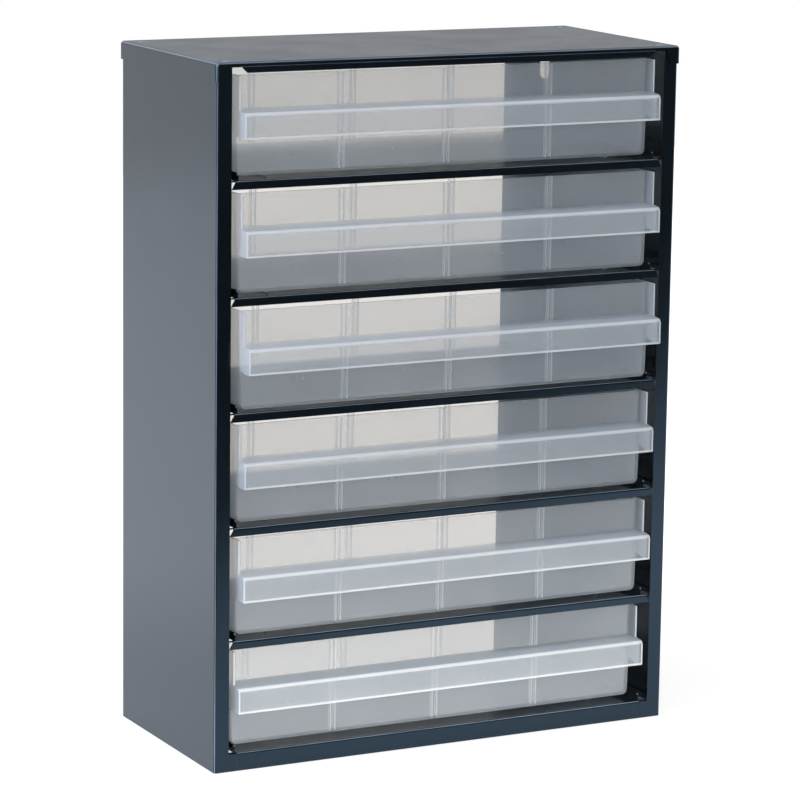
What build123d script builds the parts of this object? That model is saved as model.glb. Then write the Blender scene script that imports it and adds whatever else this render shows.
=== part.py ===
from build123d import *

import os
from math import radians, tan

# Parts cabinet: a folded steel body with a stack of translucent drawers.
# Millimetres. +X is to the right, +Y to the back, +Z up; the fronts face -Y.
# The origin is below the middle of the whole object, on the surface it stands on.

# ---- cabinet -------------------------------------------------------------------------------
cover_width = 306.0  # over the cover's side lips
body_depth = 137.0  # side sheets, front flange to rear flange
sheet = 0.8  # painted steel sheet
bend_radius = 1.3  # outside of the folded corners
side_flange = 9.3  # width of the upright front flanges
foot_flange = 14.6  # the same flange where it widens at the floor
foot_height = 10.4
rear_flange = 43.2
top_flange = 18.0  # fold of the side sheets under the cover
cover_gap = 0.3  # between the cover's lips and the side sheets
cover_lip = 10.8  # depth of the cover's side lips and front corners
cover_hem = 2.4  # depth of the cover's front and rear edges between the corners
cover_corner = 7.2  # width of the cover's front corners at their lower end
cover_corner_slant = 1.9  # how much wider those corners are at the hem
cover_radius = 2.0

# ---- levels --------------------------------------------------------------------------------
bottom_level = 11.0  # top face of the bottom plate
drawer_pitch = 67.6  # from one shelf's top face to the next
rail_height = 5.0  # folded edges of a shelf
top_headroom = 1.6  # from the top drawer's rim to the top plate's folded edge
top_rail_height = 4.0  # folded edges of the top plate
foot_gap = 0.3  # between the bottom plate's front edge and the feet
rail_gap = 0.3  # between the lower end of a shelf's front edge and the front flanges
rail_notch = 2.8  # that edge is this much shorter at its bend
top_rail_gap = 5.6  # between the top plate's front edge and the front flanges
top_rail_slant = 4.0  # that edge is this much shorter at its lower end

# ---- guides beside the drawers ---------------------------------------------------------------
guide_height = 4.5
guide_end = 14.0  # how far back from the front a guide reaches
guide_start = 2.3  # and where it begins, so the front fold stays whole
guide_radius = 3.0
guide_gap = 0.4  # between a guide and the side of the drawer that rests furthest left
guide_window = 4.5  # width of the cut that a guide is bent up from

# ---- fixings and hanging slots ---------------------------------------------------------------
fixing_inset_x = 9.5  # from the cover's side face
fixing_inset_y = 9.2  # from the cover's front and rear faces
dimple_radius = 3.9
dimple_floor_radius = 3.0
head_radius = 2.6
head_height = 0.65
shank_radius = 1.5
shank_gap = 0.1
tail_height = 1.0
slot_width = 7.0
slot_length = 15.0
slot_inset = 14.4  # from the side's outer face to the slot's middle
slot_drop = 25.8  # from the cover's top face to the slot's middle

# ---- drawers ---------------------------------------------------------------------------------
pulled_out = (3.7, 5.9, 9.3, 4.8, 3.7, 0.0)  # each drawer from its closed place, top one first
pushed_left = (1.4, 1.0, 0.4, 0.8, 0.4, 1.4)  # and this far left of the middle
face_setback = 9.9  # closed drawer's front face behind the front flanges
back_gap = 0.5  # closed drawer's back to the rear flanges
side_gap = 5.6  # from a handle's end to the front flange
headroom = 2.6  # from a drawer's rim to the shelf edge above
wall = 1.5
side_draft = 1.5  # degrees, the sides lean out towards the rim
tray_inset = 0.2  # the rim's half width is this much less than the handle's
tray_lift = 2.2  # underside of the tray above the shelf
tray_corner = 3.4
runner_gap = 0.3  # runners above the shelf
runner_width = 2.0
runner_inset = 22.0  # from the tray's side
runner_start = 8.0
handle_reach = 14.6  # handle plate in front of the drawer's front face
handle_low = 24.5  # lower edge of the handle above the shelf
handle_plate = 15.0  # height of the handle plate
handle_fall = 1.5  # the ledge drops this much towards the plate
handle_radius = 3.0
cheek_reach = 6.8  # upright cheeks above the handle
cheek_rise = 1.8  # the cheeks' lower edge climbs this much to the front face
cheek_bend = 8.0  # where that climb starts
edge_round = 0.45  # moulded edges
rib_positions = (-68.5, 0.0, 68.5)
rib_pair = 3.0  # middle to middle of a pair of ribs
rib_width = 0.9
rib_depth = 0.9
rib_top_gap = 1.2  # ribs end this far below the rim
nib_pair = 5.6
nib_width = 0.9
nib_length = 2.0
nib_height = 2.2

# ---- worked out ------------------------------------------------------------------------------
drawer_count = len(pulled_out)
cover_half = cover_width / 2
side_x = cover_half - sheet - cover_gap  # outer face of a side sheet
inner_x = side_x - sheet
tray_height = drawer_pitch - rail_height - headroom  # a drawer's rim above its shelf
top_level = bottom_level + (drawer_count - 1) * drawer_pitch  # the highest shelf
top_plate_level = top_level + tray_height + top_headroom + top_rail_height
side_top = top_plate_level + sheet
cabinet_top = side_top + 2 * sheet
cover_depth = body_depth + 2 * (sheet + cover_gap)
bottom_rail_half = side_x - foot_flange - foot_gap
shelf_rail_half = side_x - side_flange - rail_gap
top_rail_half = side_x - side_flange - top_rail_gap
fixing_x = cover_half - fixing_inset_x
fixing_y = cover_depth / 2 - fixing_inset_y

handle_half = side_x - side_flange - side_gap
tray_high_half = handle_half - tray_inset
tray_low_half = tray_high_half - (tray_height - tray_lift) * tan(radians(side_draft))
tray_length = body_depth - sheet - back_gap - face_setback
guide_reach = tray_low_half + guide_height * tan(radians(side_draft))
guide_x = guide_reach + max(pushed_left) + guide_gap

most_proud = handle_reach + max(pulled_out) - face_setback
most_behind = sheet + cover_gap  # the cover's rear edge, behind the rear flanges
front_y = (most_proud - body_depth - most_behind) / 2  # outer face of the front flanges
back_y = front_y + body_depth
middle_y = front_y + body_depth / 2
through = 2 * cabinet_top  # longer than anything it cuts


def facing_front(y, z=0.0):
    """A sketch plane that faces the viewer in front of the cabinet."""
    return Plane((0, y, z), x_dir=(1, 0, 0), z_dir=(0, -1, 0))


def facing_right(x, y=0.0, z=0.0):
    """A sketch plane seen from the right side: its X runs to the back."""
    return Plane((x, y, z), x_dir=(0, 1, 0), z_dir=(1, 0, 0))


def fixing_places():
    """The four fixings, about the middle of the cabinet."""
    return GridLocations(2 * fixing_x, 2 * fixing_y, 2, 2)


def save(part, name):
    """Label a finished piece and write it."""
    part.label = name
    export_step(part, f"parts/{name}.step")


def make_side():
    """The right side sheet: front flange with its foot, rear flange and top flange."""
    with BuildPart() as side:
        with BuildSketch(Plane.XY):
            with BuildLine():
                folded = FilletPolyline(
                    (side_x - foot_flange, front_y),
                    (side_x, front_y),
                    (side_x, back_y),
                    (side_x - rear_flange, back_y),
                    radius=bend_radius,
                )
                offset(folded, amount=sheet, side=Side.LEFT)
            make_face()
        extrude(amount=side_top)
        with BuildSketch(facing_front(front_y)):
            with Locations((side_x - foot_flange, foot_height)):
                Rectangle(foot_flange - side_flange, through, align=(Align.MIN, Align.MIN))
        extrude(amount=-sheet, mode=Mode.SUBTRACT)
        with BuildSketch(Plane.XY.offset(side_top)):
            with Locations((inner_x, middle_y)):
                Rectangle(top_flange, body_depth - 2 * sheet, align=(Align.MAX, Align.CENTER))
        extrude(amount=-sheet)
        with BuildSketch(Plane.XY.offset(side_top)):
            with Locations((fixing_x, middle_y)):
                with GridLocations(0, 2 * fixing_y, 1, 2):
                    Circle(shank_radius + shank_gap)
        extrude(amount=-sheet, mode=Mode.SUBTRACT)
        with BuildSketch(facing_front(back_y)):
            with Locations((side_x - slot_inset, cabinet_top - slot_drop)):
                SlotOverall(slot_length, slot_width, rotation=90)
        extrude(amount=sheet, mode=Mode.SUBTRACT)
    return side.part


def make_cover():
    """The cover: a lid folded down on all sides, with corners and pressed dimples."""
    with BuildPart() as cover:
        with BuildSketch(Plane.XY.offset(cabinet_top - cover_lip)):
            with Locations((0, middle_y)):
                RectangleRounded(cover_width, cover_depth, cover_radius)
        extrude(amount=cover_lip)
        fillet(cover.faces().sort_by(Axis.Z)[-1].edges(), cover_radius)
        offset(amount=-sheet, openings=cover.faces().sort_by(Axis.Z)[0])
        with BuildSketch(facing_front(middle_y, cabinet_top)):
            with BuildLine():
                low = cover_half - cover_corner
                high = low - cover_corner_slant
                Polyline(
                    (-high, -cover_hem),
                    (high, -cover_hem),
                    (low, -cover_lip),
                    (-low, -cover_lip),
                    close=True,
                )
            make_face()
        extrude(amount=cover_depth, both=True, mode=Mode.SUBTRACT)
        with Locations((0, middle_y, cabinet_top - sheet)):
            with fixing_places():
                Cone(
                    dimple_floor_radius + sheet,
                    dimple_radius + sheet,
                    sheet,
                    align=(Align.CENTER, Align.CENTER, Align.MAX),
                )
                Cone(
                    dimple_floor_radius,
                    dimple_radius,
                    sheet,
                    align=(Align.CENTER, Align.CENTER, Align.MIN),
                    mode=Mode.SUBTRACT,
                )
                Cylinder(shank_radius + shank_gap, through, mode=Mode.SUBTRACT)
    return cover.part


def make_fixings():
    """Four rivets that hold the cover, the side sheets and the top plate together."""
    head_z = cabinet_top - sheet
    tail_z = top_plate_level - sheet
    with BuildPart() as fixings:
        with Locations((0, middle_y)):
            with fixing_places():
                with Locations((0, 0, head_z)):
                    Cylinder(
                        head_radius, head_height, align=(Align.CENTER, Align.CENTER, Align.MIN)
                    )
                with Locations((0, 0, tail_z)):
                    Cylinder(
                        shank_radius,
                        head_z - tail_z,
                        align=(Align.CENTER, Align.CENTER, Align.MIN),
                    )
                    Cylinder(
                        head_radius, tail_height, align=(Align.CENTER, Align.CENTER, Align.MAX)
                    )
        rims = fixings.edges().filter_by(GeomType.CIRCLE).group_by(Axis.Z)
        fillet(rims[-1], head_height * 0.8)
        fillet(rims[0], tail_height * 0.5)
    return fixings.part


def make_plate(edge, upper_half, lower_half):
    """A plate between the side sheets, folded down by edge on all sides; its top is at zero.

    The front fold's half width is upper_half at the bend and lower_half at its lower end.
    """
    depth = body_depth - sheet
    with BuildPart() as plate:
        with BuildSketch(Plane.XY):
            with Locations((0, front_y + depth / 2)):
                RectangleRounded(2 * inner_x, depth, bend_radius)
        extrude(amount=-edge)
        fillet(plate.faces().sort_by(Axis.Z)[-1].edges(), bend_radius)
        offset(amount=-sheet, openings=plate.faces().sort_by(Axis.Z)[0])
        with BuildSketch(facing_front(front_y)):
            for right in (-1, 1):
                with BuildLine():
                    Polyline(
                        (right * upper_half, 0),
                        (right * lower_half, -edge),
                        (right * inner_x, -edge),
                        (right * inner_x, 0),
                        close=True,
                    )
                make_face()
        extrude(amount=-bend_radius, mode=Mode.SUBTRACT)
    return plate.part


def make_shelf(edge, upper_half, lower_half):
    """A plate that carries a drawer, with a guide bent up on each side of the drawer."""
    with BuildPart() as shelf:
        add(make_plate(edge, upper_half, lower_half))
        with BuildSketch(Plane.XY):
            with Locations((0, front_y + guide_start)):
                with GridLocations(2 * guide_x + 2 * sheet + guide_window, 0, 2, 1):
                    Rectangle(
                        guide_window,
                        guide_end - guide_start,
                        align=(Align.CENTER, Align.MIN),
                    )
        extrude(amount=-sheet, mode=Mode.SUBTRACT)
        for guide_face in (-guide_x, guide_x + sheet):
            with BuildSketch(facing_right(guide_face, front_y)) as guide:
                with Locations((guide_start, -sheet)):
                    Rectangle(
                        guide_end - guide_start,
                        guide_height + sheet,
                        align=(Align.MIN, Align.MIN),
                    )
                upper = guide.vertices().group_by(Axis.Y)[-1]
                fillet(upper, guide_radius)
            extrude(amount=-sheet)
    return shelf.part


def tray_half(height):
    """Half the tray's outer width at a height above the shelf."""
    return tray_low_half + (height - tray_lift) * tan(radians(side_draft))


def tray_outline(inset, rise):
    """Cross-section of the tray: inset from its outer faces, raised to stand open above."""
    low = tray_lift + inset
    high = tray_height + rise
    with BuildSketch(Plane.XY, mode=Mode.PRIVATE) as outline:
        with BuildLine():
            Polyline(
                (-tray_half(low) + inset, low),
                (tray_half(low) - inset, low),
                (tray_half(high) - inset, high),
                (-tray_half(high) + inset, high),
                close=True,
            )
        make_face()
        fillet(outline.vertices().group_by(Axis.Y)[0], tray_corner - inset)
    return outline.sketch


def hood_outline(inset, drop):
    """Side view of the handle, forward and up from the foot of the drawer's front face."""
    ledge = handle_low + handle_plate
    reach = handle_reach - inset
    with BuildSketch(Plane.XY, mode=Mode.PRIVATE) as outline:
        with BuildLine():
            Polyline(
                (0, ledge + handle_fall - inset),
                (reach, ledge - inset),
                (reach, handle_low - drop),
                (cheek_bend, handle_low - drop),
                (0, handle_low + cheek_rise - drop),
                close=True,
            )
        make_face()
        corner = outline.vertices().sort_by_distance((reach, ledge - inset))[0]
        fillet(corner, handle_radius - inset)
    return outline.sketch


def make_drawer():
    """A closed drawer moulded in one: tray, hooded handle, cheeks, ribs, nibs and runners."""
    face_y = front_y + face_setback
    front = facing_front(face_y)
    # seen from the left side: X runs forward, and a negative extrusion goes to the right
    left_end = Plane((-handle_half, face_y, 0), x_dir=(0, -1, 0), z_dir=(-1, 0, 0))
    left_inside = left_end.offset(-wall)
    right_end = left_end.offset(wall - 2 * handle_half)
    with BuildPart() as drawer:
        with BuildSketch(front):
            add(tray_outline(0, 0))
        extrude(amount=-tray_length)
        ends = drawer.faces().filter_by(Axis.Y)
        fillet(ends.edges().filter_by(Axis.X, reverse=True), edge_round)
        # the front panel is as wide as the handle from the handle up
        with BuildSketch(front):
            with Locations((0, handle_low + cheek_rise)):
                Rectangle(
                    2 * handle_half,
                    tray_height - handle_low - cheek_rise,
                    align=(Align.CENTER, Align.MIN),
                )
        extrude(amount=-wall)
        with BuildSketch(left_end):
            add(hood_outline(0, 0))
        extrude(amount=-2 * handle_half)
        with BuildSketch(left_inside):
            add(hood_outline(wall, 2 * handle_plate))
        extrude(amount=2 * wall - 2 * handle_half, mode=Mode.SUBTRACT)
        with BuildSketch(left_end, right_end):
            with Locations((0, tray_height)):
                Rectangle(
                    cheek_reach,
                    tray_height - handle_low - handle_plate,
                    align=(Align.MIN, Align.MAX),
                )
        extrude(amount=-wall)
        with BuildSketch(front.offset(-wall)):
            add(tray_outline(wall, tray_height))
        extrude(amount=2 * wall - tray_length, mode=Mode.SUBTRACT)
        # ribs on the front and back walls, and nibs on the floor between them
        rib_z = tray_lift + wall
        for x in rib_positions:
            with Locations((x, face_y + wall, rib_z), (x, face_y + tray_length - wall, rib_z)):
                with GridLocations(rib_pair, 0, 2, 1):
                    Box(
                        rib_width,
                        2 * rib_depth,
                        tray_height - tray_lift - wall - rib_top_gap,
                        align=(Align.CENTER, Align.CENTER, Align.MIN),
                    )
            with Locations((x, face_y + tray_length / 2, rib_z)):
                with GridLocations(nib_pair, 0, 2, 1):
                    Box(
                        nib_width,
                        nib_length,
                        nib_height,
                        align=(Align.CENTER, Align.CENTER, Align.MIN),
                    )
        with Locations((0, face_y + runner_start, tray_lift)):
            with GridLocations(2 * (tray_low_half - runner_inset), 0, 2, 1):
                Box(
                    runner_width,
                    tray_length - 2 * runner_start,
                    tray_lift - runner_gap,
                    align=(Align.CENTER, Align.MIN, Align.MAX),
                )
    return drawer.part


os.makedirs("parts", exist_ok=True)

right_side = make_side()
save(right_side, "right_side")
with BuildPart() as left_side:
    mirror(right_side, about=Plane.YZ)
save(left_side.part, "left_side")

save(make_cover(), "top_cover")
save(make_fixings(), "cover_fixings")

with BuildPart() as top_plate:
    with Locations((0, 0, top_plate_level)):
        add(make_plate(top_rail_height, top_rail_half, top_rail_half - top_rail_slant))
    with Locations((0, middle_y, top_plate_level)):
        with fixing_places():
            Cylinder(shank_radius + shank_gap, 2 * sheet, mode=Mode.SUBTRACT)
save(top_plate.part, "top_plate")

with BuildPart() as bottom_plate:
    with Locations((0, 0, bottom_level)):
        add(make_shelf(bottom_level, bottom_rail_half, bottom_rail_half))
save(bottom_plate.part, "bottom_plate")

# number 1 is at the top, and the lowest drawer stands on the bottom plate
shelf = make_shelf(rail_height, shelf_rail_half - rail_notch, shelf_rail_half)
drawer = make_drawer()
for number, (out, left) in enumerate(zip(pulled_out, pushed_left), start=1):
    level = bottom_level + (drawer_count - number) * drawer_pitch
    if number < drawer_count:
        with BuildPart() as placed_shelf:
            with Locations((0, 0, level)):
                add(shelf)
        save(placed_shelf.part, f"shelf_{number}")
    with BuildPart() as placed_drawer:
        with Locations((-left, -out, level)):
            add(drawer)
    save(placed_drawer.part, f"drawer_{number}")
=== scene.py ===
from math import radians

import bpy
from mathutils import Matrix, Vector


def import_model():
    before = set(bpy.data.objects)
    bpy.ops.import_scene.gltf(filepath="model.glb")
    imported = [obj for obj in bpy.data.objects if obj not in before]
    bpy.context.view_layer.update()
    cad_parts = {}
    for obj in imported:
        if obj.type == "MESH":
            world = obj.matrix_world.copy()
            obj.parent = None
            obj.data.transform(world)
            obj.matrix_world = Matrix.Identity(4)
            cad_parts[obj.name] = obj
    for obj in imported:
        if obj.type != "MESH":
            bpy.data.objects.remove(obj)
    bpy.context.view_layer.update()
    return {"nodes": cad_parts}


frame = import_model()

# Lengths are in metres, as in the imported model. A pair is the range over which a mask fades in.

# ---- places of the drawers -------------------------------------------------------------------
BOTTOM_LEVEL = 0.011
DRAWER_PITCH = 0.0676
FACE_Y = -0.05215  # a closed drawer's front face
PUSHED_LEFT = (0.0014, 0.0004, 0.0008, 0.0004, 0.0010, 0.0014)  # lowest drawer first
PULLED_OUT = (0.0, 0.0037, 0.0048, 0.0093, 0.0059, 0.0037)

# ---- places on one drawer: heights above its shelf, depths behind its front face ------------
RIM_TOP = (0.0591, 0.0596)
HANDLE_FOOT_BELOW = (0.0275, 0.0270)
HANDLE_FOOT_ABOVE = (0.0235, 0.0240)
HANDLE_BEND_ABOVE = (0.0350, 0.0375)
HANDLE_PLATE_DEPTH = (-0.0100, -0.0110)
LIP_BELOW = (0.0257, 0.0253)
LIP_ABOVE = (0.0242, 0.0245)
WALL_END_ACROSS = (0.1358, 0.1363)
WALL_END_DEPTH = (0.0010, 0.0005)
RIB_PLACES = (-0.0685, 0.0, 0.0685)
RIB_HALF_WIDTH = 0.0015
RIB_LINE = (0.00060, 0.00040)
RIB_ABOVE = (0.0030, 0.0040)
RIB_DEPTH = (-0.0010, -0.0005)

# ---- directions that a face looks in ---------------------------------------------------------
UPWARD = (0.5, 0.8)
DOWNWARD = (-0.5, -0.8)
FORWARD = (-0.4, -0.8)
ALONG_DEPTH = (0.5, 0.8)
BEND_UPWARD = (0.25, 0.55)
BEND_FORWARD = (-0.25, -0.55)
ROUNDED_EDGE = (0.90, 0.76)
LEVEL_TOP = (0.8, 0.95)

# ---- paint -----------------------------------------------------------------------------------
PAINT_DARK = (0.0026, 0.0042, 0.0052, 1)
PAINT_LIGHT = (0.0033, 0.0054, 0.0068, 1)
# painted highlight: lighter base colour on the rounded folds of the sheet
PAINT_FOLD_HIGHLIGHT = (0.13, 0.165, 0.21, 1)
PAINT_IOR = 1.6
PAINT_MIRRORS = (0.42, 0.68, 1.0, 1)
PAINT_ROUGHNESS = (0.13, 0.18)
COVER_TOP_LEVEL = (0.4155, 0.4165)
COVER_TOP_ROUGHER = 0.26
PEEL_STRENGTH = 0.05
PEEL_DEPTH = 0.00002

# ---- bare steel of the rivets ----------------------------------------------------------------
STEEL_DARK = (0.10, 0.12, 0.15, 1)
STEEL_LIGHT = (0.24, 0.26, 0.30, 1)
STEEL_METALLIC = 0.55
STEEL_ROUGHNESS = (0.30, 0.42)
STEEL_BUMP_STRENGTH = 0.3
STEEL_BUMP_DEPTH = 0.00003

# ---- plastic ---------------------------------------------------------------------------------
PLASTIC_DARK = (0.64, 0.725, 0.82, 1)
PLASTIC_LIGHT = (0.67, 0.75, 0.84, 1)
# painted highlight: lighter base colour on the plastic's rims, ends, rounded edges and rib lines
PLASTIC_EDGE_HIGHLIGHT = (0.93, 0.94, 0.96, 1)
PLASTIC_CLEAR = (0.985, 0.960, 0.925, 1)
PLASTIC_ROUGHNESS = (0.20, 0.27)
PLASTIC_GLOWS_THROUGH = 0.5
FLOW_STRENGTH = 0.012
FLOW_DEPTH = 0.0003
CLEARNESS = (0.75, 0.36)  # looked at squarely, and along the wall
CLEARNESS_BLEND = 0.35
MILK_TAKES = 0.03
EDGE_TAKES = 0.62
# share of the painted highlight on the ribs' edge lines
RIB_HIGHLIGHT_SHARE = 0.5
WALLS_SEEN_THROUGH = 24

# ---- floor and world -------------------------------------------------------------------------
FLOOR_HALF = 2.4
FLOOR_LEVEL = -0.0004
FLOOR_DARK = (0.78, 0.78, 0.78, 1)
FLOOR_LIGHT = (0.82, 0.82, 0.82, 1)
FLOOR_SEEN = (0.50, 0.50, 0.50, 1)
FLOOR_FRONT_IN_GLOSS = (0.03, 0.03, 0.03, 1)
FLOOR_FRONT = (-0.10, -0.66)
FLOOR_FRONT_SLANT = 0.8
SHADOW_REACH = (0.22, 0.60)
FLOOR_GLOW = (0.66, 1.0)
ROOM_IN_GLOSS_RANGE = (-0.55, 0.20)
ROOM_IN_GLOSS = (0.08, 1.0)  # the camera's side, and behind the object
ROOM_LIGHT_RANGE = (-0.6, 0.5)
ROOM_LIGHT = (0.25, 0.60)

# ---- lamps: name, place, target, width, height, watts, spread in degrees, colour -------------
WHITE = (1, 1, 1)
LAMPS = (
    ("left", (-2.6, -0.1, 1.3), (0, 0, 0.2), 1.0, 1.0, 52, 180, (0.82, 0.93, 1.16)),
    ("front", (-0.9, -2.4, 0.8), (0, 0, 0.2), 1.0, 1.0, 36, 180, WHITE),
    ("low", (-0.1, -0.97, 0.12), (0, -0.07, 0.0), 0.6, 0.08, 0.48, 26, (1.0, 0.94, 0.86)),
    ("top", (-0.3, -0.5, 1.9), (0, 0, 0.0), 1.2, 1.2, 8, 180, WHITE),
)

# ---- camera ----------------------------------------------------------------------------------
CAMERA_PLACE = (-1.0229, -1.97765, 0.6333)
CAMERA_RIGHT = (0.88949, -0.45669, 0.01393)
CAMERA_AHEAD = (0.45070, 0.87203, -0.19087)
SENSOR_MM = 36.0
LENS_MM = 167.8
CAMERA_REACH = 100.0


class Nodes:
    """Short ways to build a node tree."""

    def __init__(self, tree):
        self.tree = tree

    def add(self, kind, **values):
        node = self.tree.nodes.new(kind)
        for key, value in values.items():
            setattr(node, key, value)
        return node

    def feed(self, socket, value):
        if isinstance(value, bpy.types.NodeSocket):
            self.tree.links.new(value, socket)
        else:
            socket.default_value = value

    def math(self, operation, a, b=0.0, clamp=False):
        node = self.add("ShaderNodeMath", operation=operation, use_clamp=clamp)
        self.feed(node.inputs[0], a)
        self.feed(node.inputs[1], b)
        return node.outputs[0]

    def ramp(self, value, low, high, to_low=0.0, to_high=1.0, smooth=True):
        """Maps low...high to to_low...to_high and holds the ends."""
        node = self.add("ShaderNodeMapRange")
        node.interpolation_type = "SMOOTHSTEP" if smooth else "LINEAR"
        self.feed(node.inputs["Value"], value)
        self.feed(node.inputs["From Min"], low)
        self.feed(node.inputs["From Max"], high)
        self.feed(node.inputs["To Min"], to_low)
        self.feed(node.inputs["To Max"], to_high)
        return node.outputs["Result"]

    def noise(self, scale, detail=2.0, rough=0.5, stretch=None):
        node = self.add("ShaderNodeTexNoise")
        node.inputs["Scale"].default_value = scale
        node.inputs["Detail"].default_value = detail
        node.inputs["Roughness"].default_value = rough
        place = self.place()
        if stretch is not None:
            mapping = self.add("ShaderNodeMapping")
            mapping.inputs["Scale"].default_value = stretch
            self.feed(mapping.inputs["Vector"], place)
            place = mapping.outputs["Vector"]
        self.feed(node.inputs["Vector"], place)
        return node.outputs["Fac"]

    def place(self):
        if not hasattr(self, "_place"):
            self._place = self.add("ShaderNodeTexCoord").outputs["Object"]
        return self._place

    def xyz(self):
        if not hasattr(self, "_xyz"):
            node = self.add("ShaderNodeSeparateXYZ")
            self.feed(node.inputs[0], self.place())
            self._xyz = node.outputs
        return self._xyz

    def colour(self, factor, a, b):
        node = self.add("ShaderNodeMix", data_type="RGBA")
        self.feed(node.inputs["Factor"], factor)
        self.feed(node.inputs[6], a)
        self.feed(node.inputs[7], b)
        return node.outputs[2]

    def facing(self):
        if not hasattr(self, "_facing"):
            split = self.add("ShaderNodeSeparateXYZ")
            self.feed(split.inputs[0], self.add("ShaderNodeNewGeometry").outputs["Normal"])
            self._facing = split.outputs
        return self._facing

    def rounded(self):
        """0 on faces square to an axis, 1 on the rounded edges between them."""
        sizes = [self.math("ABSOLUTE", axis) for axis in self.facing()]
        most = self.math("MAXIMUM", self.math("MAXIMUM", sizes[0], sizes[1]), sizes[2])
        return self.ramp(most, *ROUNDED_EDGE, 0.0, 1.0)

    def bump(self, height, strength, distance):
        node = self.add("ShaderNodeBump")
        node.inputs["Strength"].default_value = strength
        node.inputs["Distance"].default_value = distance
        self.feed(node.inputs["Height"], height)
        return node.outputs["Normal"]

    def surface(self, shader):
        output = self.add("ShaderNodeOutputMaterial")
        self.feed(output.inputs["Surface"], shader)


def new_material(name):
    material = bpy.data.materials.new(name)
    material.use_nodes = True
    material.node_tree.nodes.clear()
    return material, Nodes(material.node_tree)


# ---- painted steel ---------------------------------------------------------------------------
def cabinet_paint():
    material, n = new_material("cabinet_paint")
    cloud = n.noise(7.0, 3.0)
    specks = n.noise(420.0, 2.0)
    tint = n.math("ADD", n.math("MULTIPLY", cloud, 0.8), n.math("MULTIPLY", specks, 0.2))
    base = n.colour(n.ramp(tint, 0.38, 0.62), PAINT_DARK, PAINT_LIGHT)
    # painted highlight: the base colour is lighter on the rounded folds, in place of the bright
    # lines that the bends catch
    fold_highlight = n.math("MULTIPLY", n.rounded(), n.ramp(n.noise(25.0, 2.0), 0.30, 0.60, 0.7, 1.0))
    base = n.colour(fold_highlight, base, PAINT_FOLD_HIGHLIGHT)
    shader = n.add("ShaderNodeBsdfPrincipled")
    n.feed(shader.inputs["Base Color"], base)
    # the coat mirrors bluish when it is looked at squarely
    shader.inputs["IOR"].default_value = PAINT_IOR
    shader.inputs["Specular Tint"].default_value = PAINT_MIRRORS
    rubbed = n.noise(30.0, 4.0, 0.6)
    # the cover's top face is rougher, so that it mirrors less of the white behind it
    height, normal_z = n.xyz()[2], n.facing()[2]
    cover_top = n.math("MULTIPLY", n.ramp(height, *COVER_TOP_LEVEL), n.ramp(normal_z, *LEVEL_TOP))
    roughness = n.ramp(rubbed, 0.3, 0.7, *PAINT_ROUGHNESS)
    added = n.math("MULTIPLY", cover_top, COVER_TOP_ROUGHER)
    n.feed(shader.inputs["Roughness"], n.math("ADD", roughness, added))
    peel = n.noise(620.0, 2.0, 0.4)
    n.feed(shader.inputs["Normal"], n.bump(peel, PEEL_STRENGTH, PEEL_DEPTH))
    n.surface(shader.outputs[0])
    return material


def fixing_steel():
    material, n = new_material("fixing_steel")
    worn = n.ramp(n.noise(900.0, 3.0, 0.6), 0.45, 0.6)
    shader = n.add("ShaderNodeBsdfPrincipled")
    n.feed(shader.inputs["Base Color"], n.colour(worn, STEEL_DARK, STEEL_LIGHT))
    n.feed(shader.inputs["Roughness"], n.ramp(worn, 0.0, 1.0, *STEEL_ROUGHNESS))
    dents = n.bump(n.noise(1500.0), STEEL_BUMP_STRENGTH, STEEL_BUMP_DEPTH)
    n.feed(shader.inputs["Normal"], dents)
    shader.inputs["Metallic"].default_value = STEEL_METALLIC
    n.surface(shader.outputs[0])
    return material


# ---- translucent plastic ---------------------------------------------------------------------
def place_in_drawer(n):
    """Height above the drawer's shelf, place across it and depth behind its front face."""
    x, y, z = n.xyz()
    above = n.math("SUBTRACT", z, BOTTOM_LEVEL)
    height = n.math("FLOORED_MODULO", above, DRAWER_PITCH)
    storey = n.math("FLOOR", n.math("DIVIDE", above, DRAWER_PITCH))
    across = x
    behind = n.math("SUBTRACT", y, FACE_Y)
    for number, (left, out) in enumerate(zip(PUSHED_LEFT, PULLED_OUT)):
        apart = n.math("ABSOLUTE", n.math("SUBTRACT", storey, number))
        same = n.math("LESS_THAN", apart, 0.5)
        across = n.math("ADD", across, n.math("MULTIPLY", same, left))
        behind = n.math("ADD", behind, n.math("MULTIPLY", same, out))
    return height, across, behind


def edge_highlight_places(n, height, across, behind):
    """1 on the rims, ends and rounded edges, which are looked into along the wall and get a
    painted highlight.
    """
    normal_y, normal_z = n.facing()[1], n.facing()[2]
    on_plate = n.ramp(behind, *HANDLE_PLATE_DEPTH)
    forward = n.ramp(normal_y, *FORWARD)

    rim = n.math("MULTIPLY", n.ramp(height, *RIM_TOP), n.ramp(normal_z, *UPWARD))

    foot = n.math("MULTIPLY", n.ramp(height, *HANDLE_FOOT_BELOW), n.ramp(normal_z, *DOWNWARD))
    foot = n.math("MULTIPLY", foot, n.ramp(height, *HANDLE_FOOT_ABOVE))

    end = n.math("MULTIPLY", n.ramp(n.math("ABSOLUTE", across), *WALL_END_ACROSS), forward)
    end = n.math("MULTIPLY", end, n.ramp(behind, *WALL_END_DEPTH))

    lip = n.math("MULTIPLY", n.ramp(height, *LIP_BELOW), n.ramp(height, *LIP_ABOVE))
    lip = n.math("MULTIPLY", n.math("MULTIPLY", lip, forward), on_plate)

    # the rounded edge along the top of the handle
    bend = n.math("MULTIPLY", n.ramp(normal_z, *BEND_UPWARD), n.ramp(normal_y, *BEND_FORWARD))
    bend = n.math("MULTIPLY", bend, n.ramp(height, *HANDLE_BEND_ABOVE))

    edge_highlight_mask = rim
    for part in (foot, end, lip, bend):
        edge_highlight_mask = n.math("MAXIMUM", edge_highlight_mask, part)
    return edge_highlight_mask


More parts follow.
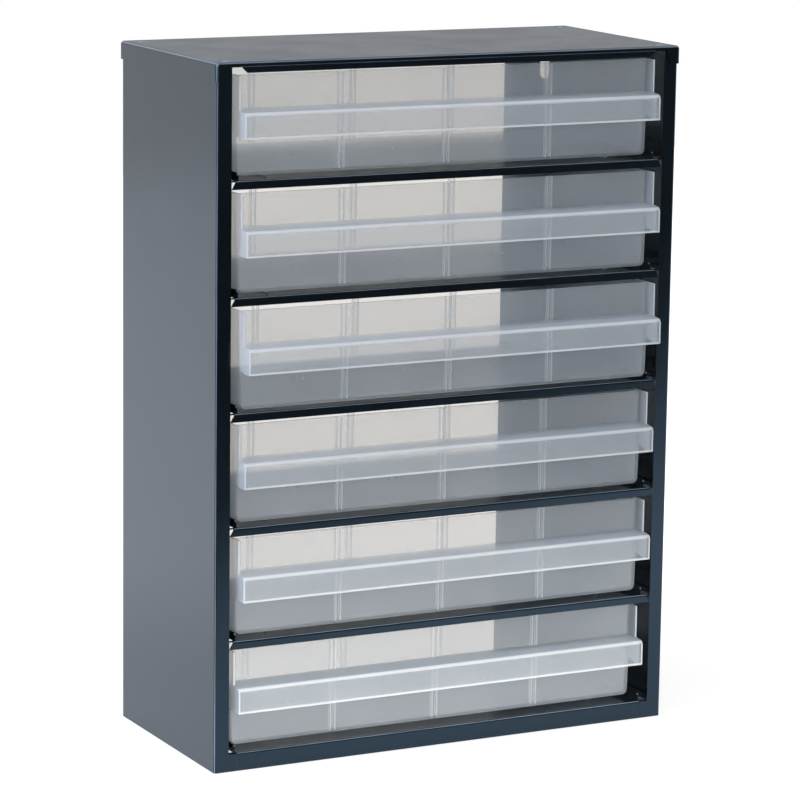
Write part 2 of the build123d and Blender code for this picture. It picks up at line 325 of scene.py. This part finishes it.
def rib_lines(n, height, across, behind):
    """1 on the two edge lines of each upright rib."""
    normal_y = n.facing()[1]
    ribs = 0.0
    for place in RIB_PLACES:
        off = n.math("ABSOLUTE", n.math("SUBTRACT", across, place))
        off = n.math("ABSOLUTE", n.math("SUBTRACT", off, RIB_HALF_WIDTH))
        ribs = n.math("ADD", ribs, n.ramp(off, *RIB_LINE))
    ribs = n.math("MULTIPLY", ribs, n.ramp(n.math("ABSOLUTE", normal_y), *ALONG_DEPTH))
    ribs = n.math("MULTIPLY", ribs, n.ramp(height, *RIB_ABOVE))
    return n.math("MULTIPLY", ribs, n.ramp(behind, *RIB_DEPTH))


def drawer_plastic():
    material, n = new_material("drawer_plastic")
    milk = n.ramp(n.noise(14.0, 3.0, 0.55, stretch=(1.0, 1.0, 1.6)), 0.3, 0.7)
    body = n.colour(milk, PLASTIC_DARK, PLASTIC_LIGHT)
    flow = n.noise(22.0, 2.0, 0.5, stretch=(1.0, 1.0, 0.3))

    where = place_in_drawer(n)
    # painted highlight along the edge lines of the ribs
    ribs = n.math("MULTIPLY", rib_lines(n, *where), RIB_HIGHLIGHT_SHARE)
    # partly real, partly painted: these edges are less see-through, as one looks along the wall
    # there, and their lighter base colour is a painted highlight
    painted_edge_highlight = n.math("MAXIMUM", edge_highlight_places(n, *where), ribs)

    skin = n.add("ShaderNodeBsdfPrincipled")
    n.feed(skin.inputs["Base Color"], n.colour(painted_edge_highlight, body, PLASTIC_EDGE_HIGHLIGHT))
    n.feed(skin.inputs["Roughness"], n.ramp(flow, 0.3, 0.7, *PLASTIC_ROUGHNESS))
    n.feed(skin.inputs["Normal"], n.bump(flow, FLOW_STRENGTH, FLOW_DEPTH))
    through = n.add("ShaderNodeBsdfTranslucent")
    n.feed(through.inputs["Color"], body)
    milky = n.add("ShaderNodeMixShader")
    milky.inputs[0].default_value = PLASTIC_GLOWS_THROUGH
    n.feed(milky.inputs[1], skin.outputs[0])
    n.feed(milky.inputs[2], through.outputs[0])

    clear = n.add("ShaderNodeBsdfTransparent")
    clear.inputs["Color"].default_value = PLASTIC_CLEAR
    edge_on = n.add("ShaderNodeLayerWeight")
    edge_on.inputs["Blend"].default_value = CLEARNESS_BLEND
    seen = n.ramp(edge_on.outputs["Facing"], 0.15, 0.95, *CLEARNESS, smooth=False)
    seen = n.math("SUBTRACT", seen, n.math("MULTIPLY", milk, MILK_TAKES))
    kept = n.math("SUBTRACT", 1.0, n.math("MULTIPLY", painted_edge_highlight, EDGE_TAKES))
    mix = n.add("ShaderNodeMixShader")
    n.feed(mix.inputs[0], n.math("MULTIPLY", seen, kept))
    n.feed(mix.inputs[1], milky.outputs[0])
    n.feed(mix.inputs[2], clear.outputs[0])
    n.surface(mix.outputs[0])
    return material


def dress():
    paint = cabinet_paint()
    steel = fixing_steel()
    plastic = drawer_plastic()
    for name, piece in frame["nodes"].items():
        if name.startswith("drawer"):
            material = plastic
        elif name == "cover_fixings":
            material = steel
        else:
            material = paint
        for slot in piece.material_slots:
            slot.material = material


# ---- floor, world, lamps and camera ----------------------------------------------------------
def floor():
    mesh = bpy.data.meshes.new("floor")
    half = FLOOR_HALF
    corners = [(-half, -half, 0), (half, -half, 0), (half, half, 0), (-half, half, 0)]
    mesh.from_pydata(corners, [], [(0, 1, 2, 3)])
    piece = bpy.data.objects.new("floor", mesh)
    bpy.context.scene.collection.objects.link(piece)
    piece.location.z = FLOOR_LEVEL

    material, n = new_material("floor")
    path = n.add("ShaderNodeLightPath")
    glossy = path.outputs["Is Glossy Ray"]

    # glossy rays find the front of the floor dark, and the rest of it white
    slanting = n.math("ADD", n.xyz()[1], n.math("MULTIPLY", n.xyz()[0], FLOOR_FRONT_SLANT))
    front = n.ramp(slanting, *FLOOR_FRONT)
    pale = n.colour(n.noise(180.0, 3.0), FLOOR_DARK, FLOOR_LIGHT)
    pale = n.colour(n.math("MULTIPLY", front, glossy), pale, FLOOR_FRONT_IN_GLOSS)
    matt = n.add("ShaderNodeBsdfDiffuse")
    n.feed(matt.inputs["Color"], pale)

    # the floor's glow is weaker close to the object, a painted shade around its base, so that the
    # shadow stays close to the object and the floor is white all round it
    seen = n.add("ShaderNodeBsdfDiffuse")
    seen.inputs["Color"].default_value = FLOOR_SEEN
    apart = n.add("ShaderNodeVectorMath", operation="LENGTH")
    n.feed(apart.inputs[0], n.place())
    glow = n.add("ShaderNodeEmission")
    strength = n.ramp(apart.outputs["Value"], *SHADOW_REACH, *FLOOR_GLOW)
    n.feed(glow.inputs["Strength"], strength)
    lifted = n.add("ShaderNodeAddShader")
    n.feed(lifted.inputs[0], seen.outputs[0])
    n.feed(lifted.inputs[1], glow.outputs[0])

    camera_ray = path.outputs["Is Camera Ray"]
    transmission_ray = path.outputs["Is Transmission Ray"]
    white = n.math("ADD", camera_ray, transmission_ray, clamp=True)
    white_in_gloss = n.math("MULTIPLY", glossy, n.math("SUBTRACT", 1.0, front))
    mix = n.add("ShaderNodeMixShader")
    n.feed(mix.inputs[0], n.math("MAXIMUM", white, white_in_gloss))
    n.feed(mix.inputs[1], matt.outputs[0])
    n.feed(mix.inputs[2], lifted.outputs[0])
    n.surface(mix.outputs[0])
    mesh.materials.append(material)


def world():
    sky = bpy.data.worlds.new("studio")
    bpy.context.scene.world = sky
    sky.use_nodes = True
    sky.node_tree.nodes.clear()
    n = Nodes(sky.node_tree)
    toward = n.add("ShaderNodeSeparateXYZ")
    n.feed(toward.inputs[0], n.add("ShaderNodeTexCoord").outputs["Generated"])
    path = n.add("ShaderNodeLightPath")

    # glossy rays find white behind the object and a dim room on the camera's side
    mirrored = n.ramp(toward.outputs["Y"], *ROOM_IN_GLOSS_RANGE, *ROOM_IN_GLOSS)
    lit = n.ramp(toward.outputs["Y"], *ROOM_LIGHT_RANGE, *ROOM_LIGHT)
    around = n.ramp(path.outputs["Is Glossy Ray"], 0.0, 1.0, lit, mirrored, smooth=False)

    camera_ray = path.outputs["Is Camera Ray"]
    transmission_ray = path.outputs["Is Transmission Ray"]
    white = n.add("ShaderNodeMix", data_type="FLOAT")
    n.feed(white.inputs[0], n.math("ADD", camera_ray, transmission_ray, clamp=True))
    n.feed(white.inputs[2], around)
    white.inputs[3].default_value = 1.0
    back = n.add("ShaderNodeBackground")
    back.inputs["Color"].default_value = (1, 1, 1, 1)
    n.feed(back.inputs["Strength"], white.outputs[0])
    output = n.add("ShaderNodeOutputWorld")
    n.feed(output.inputs["Surface"], back.outputs[0])


def lamp(name, place, target, width, height, watts, spread, colour):
    light = bpy.data.lights.new(name, "AREA")
    light.shape = "RECTANGLE"
    light.size = width
    light.size_y = height
    light.energy = watts
    light.color = colour
    light.spread = radians(spread)
    piece = bpy.data.objects.new(name, light)
    bpy.context.scene.collection.objects.link(piece)
    piece.location = place
    toward = Vector(target) - Vector(place)
    piece.rotation_euler = toward.to_track_quat("-Z", "Y").to_euler()


def camera():
    lens = bpy.data.cameras.new("camera")
    lens.sensor_width = SENSOR_MM
    lens.lens = LENS_MM
    lens.clip_end = CAMERA_REACH
    piece = bpy.data.objects.new("camera", lens)
    bpy.context.scene.collection.objects.link(piece)
    right = Vector(CAMERA_RIGHT).normalized()
    ahead = Vector(CAMERA_AHEAD).normalized()
    up = right.cross(ahead).normalized()
    right = ahead.cross(up)
    turn = Matrix((right, up, -ahead)).transposed().to_4x4()
    piece.matrix_world = Matrix.Translation(CAMERA_PLACE) @ turn
    bpy.context.scene.camera = piece


dress()
floor()
world()
for values in LAMPS:
    lamp(*values)
camera()
bpy.context.scene.view_settings.view_transform = "Standard"
bpy.context.scene.cycles.transparent_max_bounces = WALLS_SEEN_THROUGH
